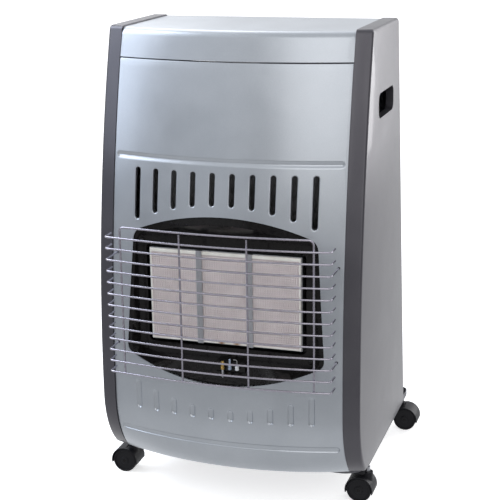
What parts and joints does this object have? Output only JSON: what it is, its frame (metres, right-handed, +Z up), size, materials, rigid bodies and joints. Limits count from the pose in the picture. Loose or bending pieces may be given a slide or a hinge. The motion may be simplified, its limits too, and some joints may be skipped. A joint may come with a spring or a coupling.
{
  "type": "portable gas cabinet heater",
  "caption": "Free-standing bottled-gas cabinet heater: bowed silver front with slots, ceramic plaque burner behind a wire guard, bottle bay behind, twin-wheel casters.",
  "frame": {"origin": "on the floor, on the cabinet's middle plane, halfway between the guard's foremost wire and the back of the rear cover", "axes": "+Z up, -Y towards the burner's front, +X to the right as seen from the front"},
  "size_m": [0.4627, 0.4675, 0.746],
  "materials": {
    "dark_silver": "satin metallic paint",
    "silver": "satin metallic paint",
    "black_enamel": "gloss enamel",
    "chrome": "polished plating",
    "burner_ceramic": "matt perforated",
    "white_ceramic": "glazed",
    "bright_steel": "plated",
    "burner_steel": "aluminised",
    "brass": "machined",
    "pipe_metal": "plain",
    "dark_tray_paint": "satin paint",
    "black_plastic": "moulded",
    "wheel_plastic": "moulded"
  },
  "bodies": {
    "cabinet": {"base_tray": "dark_tray_paint", "bezel_screws": "bright_steel", "burner_bezel": "black_enamel", "burner_brackets": "burner_steel", "caster_sockets": "black_plastic", "front_panel": "silver", "gas_manifold": "burner_steel", "gas_valve": "pipe_metal", "guard_frame_wire": "chrome", "guard_uprights": "chrome", "guard_wires": "chrome", "heat_shield": "burner_steel", "hose_nozzle": "brass", "ignition_electrode": "white_ceramic", "injectors": "brass", "left_ceramic_plaque": "burner_ceramic", "left_plenum": "burner_steel", "left_side_panel": "dark_silver", "middle_ceramic_plaque": "burner_ceramic", "middle_plenum": "burner_steel", "pilot_bracket": "bright_steel", "pilot_burner": "brass", "pilot_pipe": "pipe_metal", "plaque_holder": "bright_steel", "rear_screws": "bright_steel", "right_ceramic_plaque": "burner_ceramic", "right_plenum": "burner_steel", "right_side_panel": "dark_silver", "supply_pipe": "pipe_metal", "thermocouple": "bright_steel", "top_cover": "silver", "upper_rear_panel": "dark_tray_paint", "valve_bracket": "burner_steel"},
    "front_left_caster": {"front_left_caster_housing": "black_plastic", "front_left_caster_stem": "bright_steel", "front_left_caster_axle": "bright_steel"},
    "front_left_caster_front_wheel": {"front_left_caster_front_wheel": "wheel_plastic"},
    "front_left_caster_rear_wheel": {"front_left_caster_rear_wheel": "wheel_plastic"},
    "front_right_caster": {"front_right_caster_housing": "black_plastic", "front_right_caster_stem": "bright_steel", "front_right_caster_axle": "bright_steel"},
    "front_right_caster_front_wheel": {"front_right_caster_front_wheel": "wheel_plastic"},
    "front_right_caster_rear_wheel": {"front_right_caster_rear_wheel": "wheel_plastic"},
    "rear_left_caster": {"rear_left_caster_housing": "black_plastic", "rear_left_caster_stem": "bright_steel", "rear_left_caster_axle": "bright_steel"},
    "rear_left_caster_front_wheel": {"rear_left_caster_front_wheel": "wheel_plastic"},
    "rear_left_caster_rear_wheel": {"rear_left_caster_rear_wheel": "wheel_plastic"},
    "rear_right_caster": {"rear_right_caster_housing": "black_plastic", "rear_right_caster_stem": "bright_steel", "rear_right_caster_axle": "bright_steel"},
    "rear_right_caster_front_wheel": {"rear_right_caster_front_wheel": "wheel_plastic"},
    "rear_right_caster_rear_wheel": {"rear_right_caster_rear_wheel": "wheel_plastic"},
    "rear_cover": {"rear_cover": "dark_tray_paint"},
    "valve_plunger": {"valve_plunger": "brass"},
    "control_knob": {"control_knob": "black_plastic", "valve_stem": "bright_steel"}
  },
  "joints": [
    {"name": "rear_cover_pull", "type": "slide", "parent": "cabinet", "child": "rear_cover", "axis": [0, 1, 0], "range_m": [0, 0.2]},
    {"name": "knob_push", "type": "slide", "parent": "cabinet", "child": "valve_plunger", "axis": [0, -0.993, -0.1177], "range_m": [0, 0.005], "stiffness_N_per_m": 400},
    {"name": "knob_turn", "type": "hinge", "parent": "valve_plunger", "child": "control_knob", "pos_m": [0.085, 0.09386, 0.70718], "axis": [0, 0.993, 0.1177], "range_deg": [0, 210]},
    {"name": "front_left_caster_swivel", "type": "hinge", "parent": "cabinet", "child": "front_left_caster", "pos_m": [-0.2015, -0.08125, 0.048], "axis": [0, 0, 1], "continuous": true},
    {"name": "front_left_caster_front_wheel_spin", "type": "hinge", "parent": "front_left_caster", "child": "front_left_caster_front_wheel", "pos_m": [-0.2125, -0.09125, 0.02], "axis": [0, 1, 0], "continuous": true},
    {"name": "front_left_caster_rear_wheel_spin", "type": "hinge", "parent": "front_left_caster", "child": "front_left_caster_rear_wheel", "pos_m": [-0.2125, -0.07125, 0.02], "axis": [0, 1, 0], "continuous": true},
    {"name": "front_right_caster_swivel", "type": "hinge", "parent": "cabinet", "child": "front_right_caster", "pos_m": [0.2015, -0.08125, 0.048], "axis": [0, 0, 1], "continuous": true},
    {"name": "front_right_caster_front_wheel_spin", "type": "hinge", "parent": "front_right_caster", "child": "front_right_caster_front_wheel", "pos_m": [0.1905, -0.09125, 0.02], "axis": [0, 1, 0], "continuous": true},
    {"name": "front_right_caster_rear_wheel_spin", "type": "hinge", "parent": "front_right_caster", "child": "front_right_caster_rear_wheel", "pos_m": [0.1905, -0.07125, 0.02], "axis": [0, 1, 0], "continuous": true},
    {"name": "rear_left_caster_swivel", "type": "hinge", "parent": "cabinet", "child": "rear_left_caster", "pos_m": [-0.194, 0.21675, 0.048], "axis": [0, 0, 1], "continuous": true},
    {"name": "rear_left_caster_front_wheel_spin", "type": "hinge", "parent": "rear_left_caster", "child": "rear_left_caster_front_wheel", "pos_m": [-0.205, 0.20675, 0.02], "axis": [0, 1, 0], "continuous": true},
    {"name": "rear_left_caster_rear_wheel_spin", "type": "hinge", "parent": "rear_left_caster", "child": "rear_left_caster_rear_wheel", "pos_m": [-0.205, 0.22675, 0.02], "axis": [0, 1, 0], "continuous": true},
    {"name": "rear_right_caster_swivel", "type": "hinge", "parent": "cabinet", "child": "rear_right_caster", "pos_m": [0.194, 0.21675, 0.048], "axis": [0, 0, 1], "continuous": true},
    {"name": "rear_right_caster_front_wheel_spin", "type": "hinge", "parent": "rear_right_caster", "child": "rear_right_caster_front_wheel", "pos_m": [0.205, 0.20675, 0.02], "axis": [0, 1, 0], "continuous": true},
    {"name": "rear_right_caster_rear_wheel_spin", "type": "hinge", "parent": "rear_right_caster", "child": "rear_right_caster_rear_wheel", "pos_m": [0.205, 0.22675, 0.02], "axis": [0, 1, 0], "continuous": true}
  ]
}
